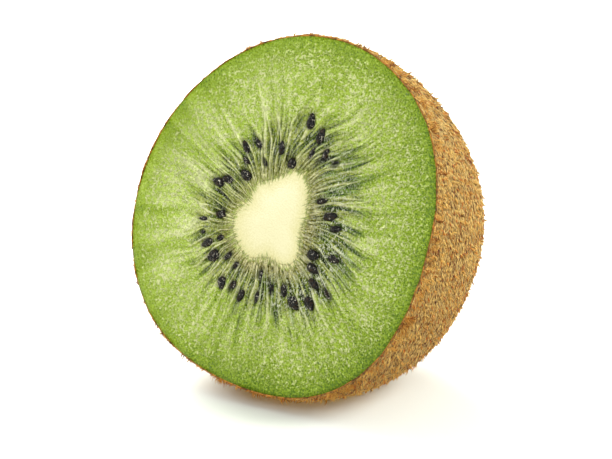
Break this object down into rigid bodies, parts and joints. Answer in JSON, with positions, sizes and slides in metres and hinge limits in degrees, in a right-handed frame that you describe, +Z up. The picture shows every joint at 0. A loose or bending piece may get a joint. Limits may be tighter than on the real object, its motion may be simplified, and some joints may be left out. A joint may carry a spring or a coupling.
{
  "type": "kiwi fruit half",
  "caption": "Kiwi fruit cut across its middle: fuzzy brown skin, green flesh, a pale core and dark seeds, resting on its rounded side with the cut facing forward.",
  "frame": {"origin": "middle of the bounding box's footprint, on the surface that the fruit rests on", "axes": "+Z up; the cut faces -Y and leans back 18 degrees, so that it looks a little upward; +X is to the cut's right as seen from its front"},
  "size_m": [0.0494, 0.0402, 0.0487],
  "materials": {
    "flesh": "wet green flesh under a thin fuzzy brown skin",
    "core": "moist pale cream, fine grained"
  },
  "bodies": {
    "root": {"flesh": "flesh", "core": "core"}
  },
  "joints": []
}
